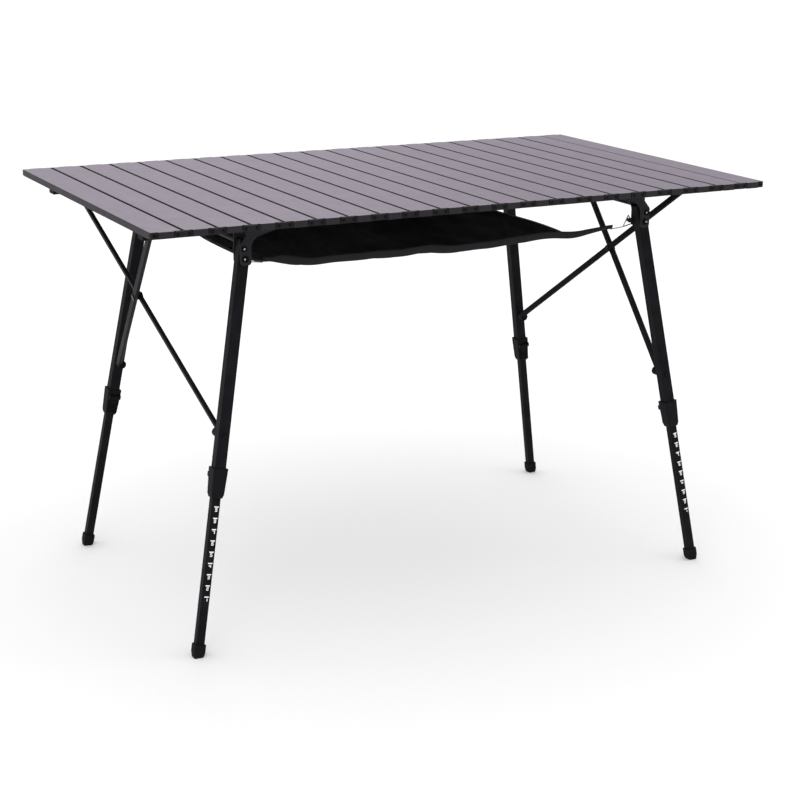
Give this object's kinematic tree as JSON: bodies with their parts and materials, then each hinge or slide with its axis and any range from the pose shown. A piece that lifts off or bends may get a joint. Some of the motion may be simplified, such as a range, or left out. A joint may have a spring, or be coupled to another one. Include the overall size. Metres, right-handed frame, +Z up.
{
  "type": "camp kitchen table",
  "caption": "Roll-top slatted camping table with folding telescopic legs, end cross braces and a storage net under the top.",
  "frame": {"origin": "on the floor under the middle of the table top", "axes": "+X along the long side to the right, +Y across the table to the rear, +Z up"},
  "size_m": [1.2, 0.7, 0.75],
  "materials": {
    "slat_metal": "brushed, mauve-grey anodised",
    "frame_metal": "satin black powder coat on aluminium tube",
    "black_plastic": "moulded, fine texture",
    "lever_plastic": "moulded, ribbed",
    "fastener_steel": "black zinc",
    "hook_wire": "bright drawn wire",
    "net_mesh": "knitted black mesh",
    "cast_bracket": "cast aluminium, dark satin paint",
    "foot_rubber": "matt moulded rubber"
  },
  "bodies": {
    "frame": {"front_rail": "frame_metal", "rear_rail": "frame_metal", "rail_end_caps": "black_plastic", "end_crossbars": "frame_metal", "bracket_crossbars": "frame_metal", "brace_clips": "black_plastic", "bracket_fasteners": "fastener_steel", "net_hooks": "hook_wire", "storage_net": "net_mesh", "front_left_bracket": "cast_bracket", "front_right_bracket": "cast_bracket", "rear_left_bracket": "cast_bracket", "rear_right_bracket": "cast_bracket", "slat_21": "slat_metal"},
    "slat_20": {"slat_20": "slat_metal"},
    "slat_19": {"slat_19": "slat_metal"},
    "slat_18": {"slat_18": "slat_metal"},
    "slat_17": {"slat_17": "slat_metal"},
    "slat_16": {"slat_16": "slat_metal"},
    "slat_15": {"slat_15": "slat_metal"},
    "slat_14": {"slat_14": "slat_metal"},
    "slat_13": {"slat_13": "slat_metal"},
    "slat_12": {"slat_12": "slat_metal"},
    "slat_11": {"slat_11": "slat_metal"},
    "slat_10": {"slat_10": "slat_metal"},
    "slat_09": {"slat_09": "slat_metal"},
    "slat_08": {"slat_08": "slat_metal"},
    "slat_07": {"slat_07": "slat_metal"},
    "slat_06": {"slat_06": "slat_metal"},
    "slat_05": {"slat_05": "slat_metal"},
    "slat_04": {"slat_04": "slat_metal"},
    "slat_03": {"slat_03": "slat_metal"},
    "slat_02": {"slat_02": "slat_metal"},
    "slat_01": {"slat_01": "slat_metal"},
    "front_left_leg": {"front_left_upper_tube": "frame_metal", "front_left_clamp": "black_plastic"},
    "front_left_lower_leg": {"front_left_lower_tube": "frame_metal", "front_left_foot": "foot_rubber"},
    "front_left_lever": {"front_left_clamp_lever": "lever_plastic"},
    "front_right_leg": {"front_right_upper_tube": "frame_metal", "front_right_clamp": "black_plastic"},
    "front_right_lower_leg": {"front_right_lower_tube": "frame_metal", "front_right_foot": "foot_rubber"},
    "front_right_lever": {"front_right_clamp_lever": "lever_plastic"},
    "rear_left_leg": {"rear_left_upper_tube": "frame_metal", "rear_left_clamp": "black_plastic"},
    "rear_left_lower_leg": {"rear_left_lower_tube": "frame_metal", "rear_left_foot": "foot_rubber"},
    "rear_left_lever": {"rear_left_clamp_lever": "lever_plastic"},
    "rear_right_leg": {"rear_right_upper_tube": "frame_metal", "rear_right_clamp": "black_plastic"},
    "rear_right_lower_leg": {"rear_right_lower_tube": "frame_metal", "rear_right_foot": "foot_rubber"},
    "rear_right_lever": {"rear_right_clamp_lever": "lever_plastic"},
    "left_braces": {"left_outer_brace": "frame_metal", "left_inner_brace": "frame_metal", "left_brace_fasteners": "fastener_steel"},
    "right_braces": {"right_outer_brace": "frame_metal", "right_inner_brace": "frame_metal", "right_brace_fasteners": "fastener_steel"}
  },
  "joints": [
    {"name": "slat_20_hinge", "type": "hinge", "parent": "frame", "child": "slat_20", "pos_m": [0.55432, 0, 0.7445], "axis": [0, 1, 0], "range_deg": [0, 9]},
    {"name": "slat_19_hinge", "type": "hinge", "parent": "slat_20", "child": "slat_19", "pos_m": [0.49964, 0, 0.7445], "axis": [0, 1, 0], "range_deg": [0, 24]},
    {"name": "slat_18_hinge", "type": "hinge", "parent": "slat_19", "child": "slat_18", "pos_m": [0.44216, 0, 0.7445], "axis": [0, 1, 0], "range_deg": [0, 24.67]},
    {"name": "slat_17_hinge", "type": "hinge", "parent": "slat_18", "child": "slat_17", "pos_m": [0.38468, 0, 0.7445], "axis": [0, 1, 0], "range_deg": [0, 25.33]},
    {"name": "slat_16_hinge", "type": "hinge", "parent": "slat_17", "child": "slat_16", "pos_m": [0.3272, 0, 0.7445], "axis": [0, 1, 0], "range_deg": [0, 26]},
    {"name": "slat_15_hinge", "type": "hinge", "parent": "slat_16", "child": "slat_15", "pos_m": [0.26971, 0, 0.7445], "axis": [0, 1, 0], "range_deg": [0, 26.67]},
    {"name": "slat_14_hinge", "type": "hinge", "parent": "slat_15", "child": "slat_14", "pos_m": [0.21223, 0, 0.7445], "axis": [0, 1, 0], "range_deg": [0, 27.33]},
    {"name": "slat_13_hinge", "type": "hinge", "parent": "slat_14", "child": "slat_13", "pos_m": [0.15475, 0, 0.7445], "axis": [0, 1, 0], "range_deg": [0, 28]},
    {"name": "slat_12_hinge", "type": "hinge", "parent": "slat_13", "child": "slat_12", "pos_m": [0.09727, 0, 0.7445], "axis": [0, 1, 0], "range_deg": [0, 28.67]},
    {"name": "slat_11_hinge", "type": "hinge", "parent": "slat_12", "child": "slat_11", "pos_m": [0.03979, 0, 0.7445], "axis": [0, 1, 0], "range_deg": [0, 29.33]},
    {"name": "slat_10_hinge", "type": "hinge", "parent": "slat_11", "child": "slat_10", "pos_m": [-0.01769, 0, 0.7445], "axis": [0, 1, 0], "range_deg": [0, 30]},
    {"name": "slat_09_hinge", "type": "hinge", "parent": "slat_10", "child": "slat_09", "pos_m": [-0.07517, 0, 0.7445], "axis": [0, 1, 0], "range_deg": [0, 30.67]},
    {"name": "slat_08_hinge", "type": "hinge", "parent": "slat_09", "child": "slat_08", "pos_m": [-0.13265, 0, 0.7445], "axis": [0, 1, 0], "range_deg": [0, 31.33]},
    {"name": "slat_07_hinge", "type": "hinge", "parent": "slat_08", "child": "slat_07", "pos_m": [-0.19013, 0, 0.7445], "axis": [0, 1, 0], "range_deg": [0, 32]},
    {"name": "slat_06_hinge", "type": "hinge", "parent": "slat_07", "child": "slat_06", "pos_m": [-0.24761, 0, 0.7445], "axis": [0, 1, 0], "range_deg": [0, 32.67]},
    {"name": "slat_05_hinge", "type": "hinge", "parent": "slat_06", "child": "slat_05", "pos_m": [-0.3051, 0, 0.7445], "axis": [0, 1, 0], "range_deg": [0, 33.33]},
    {"name": "slat_04_hinge", "type": "hinge", "parent": "slat_05", "child": "slat_04", "pos_m": [-0.36258, 0, 0.7445], "axis": [0, 1, 0], "range_deg": [0, 34]},
    {"name": "slat_03_hinge", "type": "hinge", "parent": "slat_04", "child": "slat_03", "pos_m": [-0.42006, 0, 0.7445], "axis": [0, 1, 0], "range_deg": [0, 34.67]},
    {"name": "slat_02_hinge", "type": "hinge", "parent": "slat_03", "child": "slat_02", "pos_m": [-0.47754, 0, 0.7445], "axis": [0, 1, 0], "range_deg": [0, 35.33]},
    {"name": "top_roll", "type": "hinge", "parent": "slat_02", "child": "slat_01", "pos_m": [-0.53502, 0, 0.7445], "axis": [0, 1, 0], "range_deg": [0, 36]},
    {"name": "left_legs_fold", "type": "hinge", "parent": "frame", "child": "front_left_leg", "pos_m": [-0.402, -0.241, 0.674], "axis": [0, -1, 0], "range_deg": [0, 98], "deforming": ["storage_net"]},
    {"name": "front_left_leg_height", "type": "slide", "parent": "front_left_leg", "child": "front_left_lower_leg", "axis": [0.1718, 0.0859, 0.9814], "range_m": [0, 0.24]},
    {"name": "front_left_clamp_flip", "type": "hinge", "parent": "front_left_leg", "child": "front_left_lever", "pos_m": [-0.46557, -0.25754, 0.30956], "axis": [0.9851, -0.015, -0.1712], "range_deg": [0, 95]},
    {"name": "right_legs_fold", "type": "hinge", "parent": "frame", "child": "front_right_leg", "pos_m": [0.402, -0.241, 0.674], "axis": [0, 1, 0], "range_deg": [0, 86]},
    {"name": "front_right_leg_height", "type": "slide", "parent": "front_right_leg", "child": "front_right_lower_leg", "axis": [-0.1718, 0.0859, 0.9814], "range_m": [0, 0.24]},
    {"name": "front_right_clamp_flip", "type": "hinge", "parent": "front_right_leg", "child": "front_right_lever", "pos_m": [0.46557, -0.25754, 0.30956], "axis": [0.9851, 0.015, 0.1712], "range_deg": [0, 95]},
    {"name": "rear_left_leg_fold", "type": "hinge", "parent": "frame", "child": "rear_left_leg", "pos_m": [-0.402, 0.241, 0.674], "axis": [0, -1, 0], "range_deg": [0, 98]},
    {"name": "rear_left_leg_height", "type": "slide", "parent": "rear_left_leg", "child": "rear_left_lower_leg", "axis": [0.1718, -0.0859, 0.9814], "range_m": [0, 0.24]},
    {"name": "rear_left_clamp_flip", "type": "hinge", "parent": "rear_left_leg", "child": "rear_left_lever", "pos_m": [-0.46557, 0.25754, 0.30956], "axis": [-0.9851, -0.015, 0.1712], "range_deg": [0, 95]},
    {"name": "rear_right_leg_fold", "type": "hinge", "parent": "frame", "child": "rear_right_leg", "pos_m": [0.402, 0.241, 0.674], "axis": [0, 1, 0], "range_deg": [0, 86]},
    {"name": "rear_right_leg_height", "type": "slide", "parent": "rear_right_leg", "child": "rear_right_lower_leg", "axis": [-0.1718, -0.0859, 0.9814], "range_m": [0, 0.24]},
    {"name": "rear_right_clamp_flip", "type": "hinge", "parent": "rear_right_leg", "child": "rear_right_lever", "pos_m": [0.46557, 0.25754, 0.30956], "axis": [-0.9851, 0.015, -0.1712], "range_deg": [0, 95]},
    {"name": "left_braces_swing", "type": "hinge", "parent": "front_left_leg", "child": "left_braces", "pos_m": [-0.45382, 0, 0.378], "axis": [0, 1, 0], "range_deg": [0, 11.76]},
    {"name": "right_braces_swing", "type": "hinge", "parent": "front_right_leg", "child": "right_braces", "pos_m": [0.45382, 0, 0.378], "axis": [0, -1, 0], "range_deg": [0, 10.32]}
  ],
  "couplings": [
    {"joint": "slat_20_hinge", "follows": "top_roll", "ratio": 0.25},
    {"joint": "slat_19_hinge", "follows": "top_roll", "ratio": 0.66667},
    {"joint": "slat_18_hinge", "follows": "top_roll", "ratio": 0.68519},
    {"joint": "slat_17_hinge", "follows": "top_roll", "ratio": 0.7037},
    {"joint": "slat_16_hinge", "follows": "top_roll", "ratio": 0.72222},
    {"joint": "slat_15_hinge", "follows": "top_roll", "ratio": 0.74074},
    {"joint": "slat_14_hinge", "follows": "top_roll", "ratio": 0.75926},
    {"joint": "slat_13_hinge", "follows": "top_roll", "ratio": 0.77778},
    {"joint": "slat_12_hinge", "follows": "top_roll", "ratio": 0.7963},
    {"joint": "slat_11_hinge", "follows": "top_roll", "ratio": 0.81481},
    {"joint": "slat_10_hinge", "follows": "top_roll", "ratio": 0.83333},
    {"joint": "slat_09_hinge", "follows": "top_roll", "ratio": 0.85185},
    {"joint": "slat_08_hinge", "follows": "top_roll", "ratio": 0.87037},
    {"joint": "slat_07_hinge", "follows": "top_roll", "ratio": 0.88889},
    {"joint": "slat_06_hinge", "follows": "top_roll", "ratio": 0.90741},
    {"joint": "slat_05_hinge", "follows": "top_roll", "ratio": 0.92593},
    {"joint": "slat_04_hinge", "follows": "top_roll", "ratio": 0.94444},
    {"joint": "slat_03_hinge", "follows": "top_roll", "ratio": 0.96296},
    {"joint": "slat_02_hinge", "follows": "top_roll", "ratio": 0.98148},
    {"joint": "rear_left_leg_fold", "follows": "left_legs_fold", "ratio": 1},
    {"joint": "rear_right_leg_fold", "follows": "right_legs_fold", "ratio": 1},
    {"joint": "left_braces_swing", "follows": "left_legs_fold", "ratio": 0.12},
    {"joint": "right_braces_swing", "follows": "right_legs_fold", "ratio": 0.12}
  ]
}
